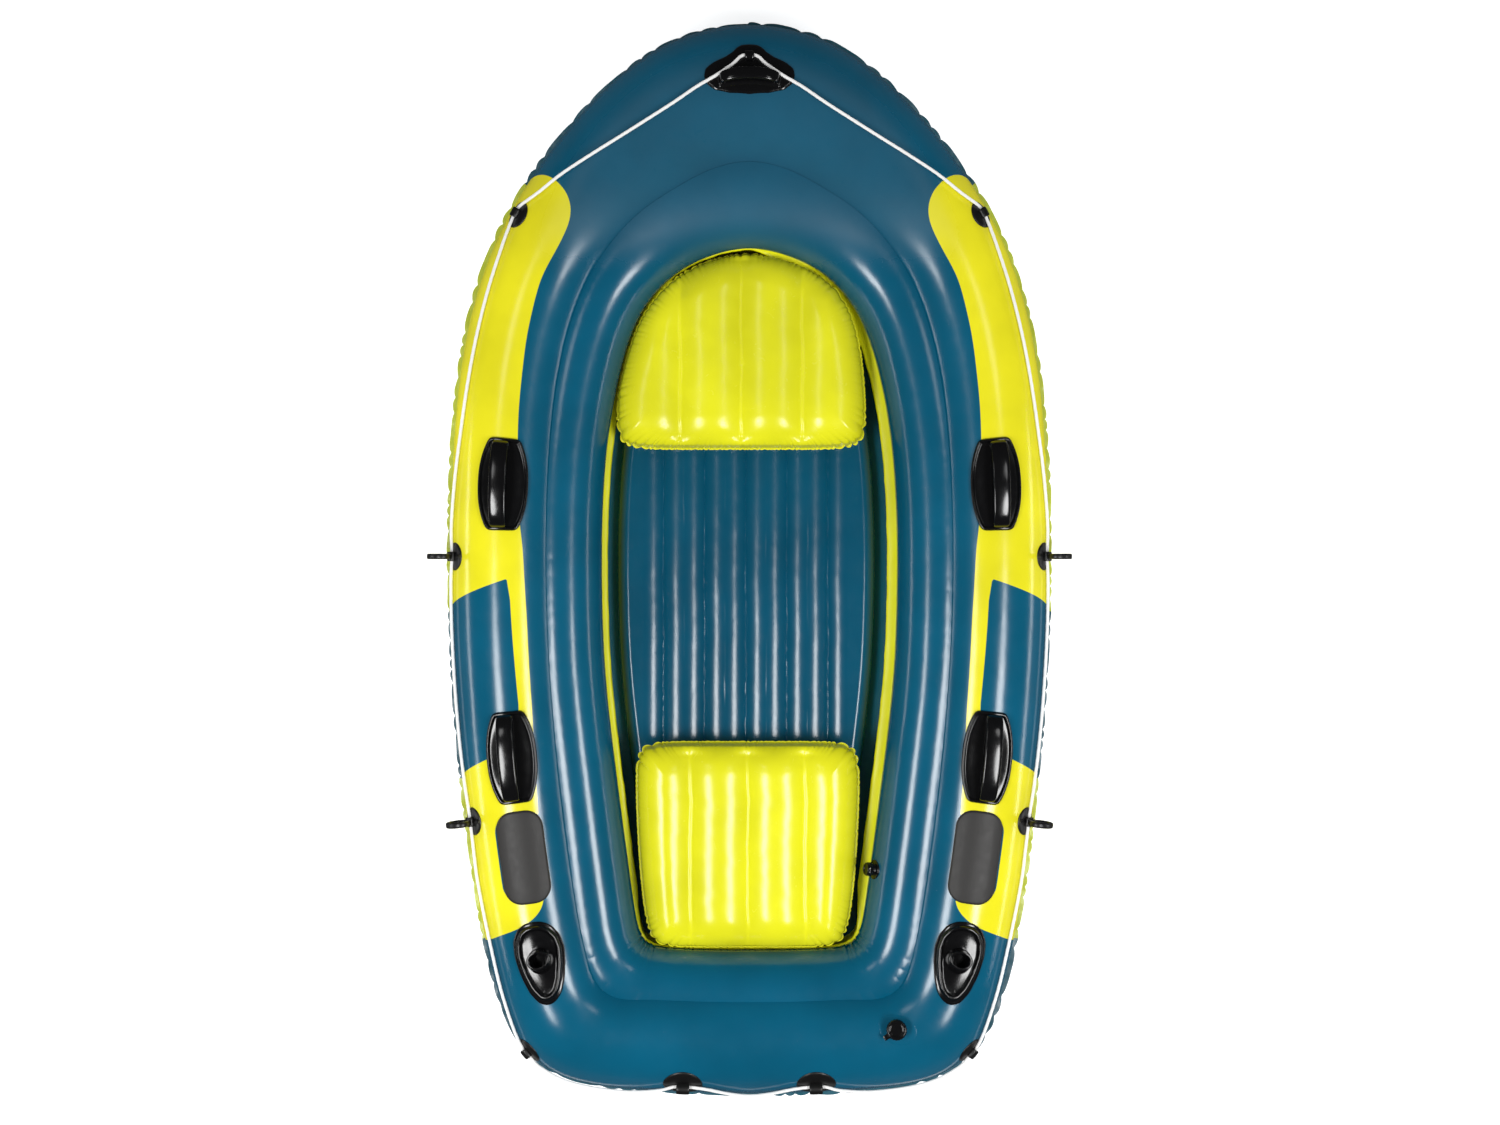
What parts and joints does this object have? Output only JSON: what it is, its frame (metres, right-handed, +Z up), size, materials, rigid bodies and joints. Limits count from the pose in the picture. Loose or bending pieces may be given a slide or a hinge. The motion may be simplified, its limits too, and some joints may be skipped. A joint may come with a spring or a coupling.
{
  "type": "inflatable boat",
  "caption": "Inflatable rowing boat with a ribbed inflatable floor, lift-out seats, a grab line through rope guides, carry grips, oar rings, rod holders and screw valves",
  "frame": {"origin": "on the ground under the centre of the boat's overall box", "axes": "+Y toward the bow, +X to the boat's right side, +Z up"},
  "size_m": [1.3758, 2.315, 0.3949],
  "materials": {
    "hull_blue": "satin coated film",
    "seam_blue": "satin coated film, embossed weld",
    "floor_blue": "satin coated film",
    "lime": "satin coated film",
    "gloss_black": "glossy moulding",
    "matt_black": "matt moulding",
    "rope_white": "braided"
  },
  "bodies": {
    "hull": {"bottom_sheet": "hull_blue", "bow_handle": "gloss_black", "cockpit_lining": "lime", "floor_mat": "floor_blue", "floor_valve_base": "gloss_black", "grab_line": "rope_white", "inner_tube": "hull_blue", "inner_valve_base": "gloss_black", "main_valve_base": "hull_blue", "oar_ring_front_left": "gloss_black", "oar_ring_front_right": "gloss_black", "oar_ring_rear_left": "gloss_black", "oar_ring_rear_right": "gloss_black", "outer_tube": "hull_blue", "rod_holder_left": "gloss_black", "rod_holder_right": "gloss_black", "rope_guide_bow_left": "gloss_black", "rope_guide_bow_right": "gloss_black", "rope_guide_corner_left": "gloss_black", "rope_guide_corner_right": "gloss_black", "rope_guide_stern_left": "gloss_black", "rope_guide_stern_right": "gloss_black", "seam_flange": "seam_blue", "side_handle_front_left": "gloss_black", "side_handle_front_right": "gloss_black", "side_handle_rear_left": "gloss_black", "side_handle_rear_right": "gloss_black", "wear_pad_left": "matt_black", "wear_pad_right": "matt_black"},
    "front_seat": {"front_seat": "lime", "front_seat_valve_base": "gloss_black"},
    "rear_seat": {"rear_seat": "lime", "rear_seat_valve_base": "gloss_black"},
    "front_seat_valve_cap": {"front_seat_valve_cap": "gloss_black"},
    "rear_seat_valve_cap": {"rear_seat_valve_cap": "gloss_black"},
    "floor_valve_cap": {"floor_valve_cap": "gloss_black"},
    "inner_valve_cap": {"inner_valve_cap": "gloss_black"},
    "main_valve_insert": {"main_valve_insert": "gloss_black"},
    "main_valve_cap": {"main_valve_cap": "gloss_black"}
  },
  "joints": [
    {"name": "front_seat_lift", "type": "slide", "parent": "hull", "child": "front_seat", "axis": [0, 0, 1], "range_m": [0, 0.25]},
    {"name": "rear_seat_lift", "type": "slide", "parent": "hull", "child": "rear_seat", "axis": [0, 0, 1], "range_m": [0, 0.25]},
    {"name": "main_valve_insert_turn", "type": "hinge", "parent": "hull", "child": "main_valve_insert", "pos_m": [0.31209, -0.98371, 0.24771], "axis": [-0.1057, 0.1791, 0.9781], "range_deg": [0, 360]},
    {"name": "main_valve_cap_turn", "type": "hinge", "parent": "main_valve_insert", "child": "main_valve_cap", "pos_m": [0.31209, -0.98371, 0.24771], "axis": [-0.1057, 0.1791, 0.9781], "range_deg": [0, 360]},
    {"name": "inner_valve_cap_turn", "type": "hinge", "parent": "hull", "child": "inner_valve_cap", "pos_m": [0.26958, -0.65959, 0.15856], "axis": [-0.9189, 0.1222, 0.375], "range_deg": [0, 360]},
    {"name": "floor_valve_cap_turn", "type": "hinge", "parent": "hull", "child": "floor_valve_cap", "pos_m": [0.0465, -0.62, 0.0518], "axis": [0, 0, 1], "range_deg": [0, 360]},
    {"name": "front_seat_valve_cap_turn", "type": "hinge", "parent": "front_seat", "child": "front_seat_valve_cap", "pos_m": [0.048, 0.42, 0.0521], "axis": [0, 0, -1], "range_deg": [0, 360]},
    {"name": "rear_seat_valve_cap_turn", "type": "hinge", "parent": "rear_seat", "child": "rear_seat_valve_cap", "pos_m": [-0.066, -0.54, 0.0521], "axis": [0, 0, -1], "range_deg": [0, 360]}
  ]
}
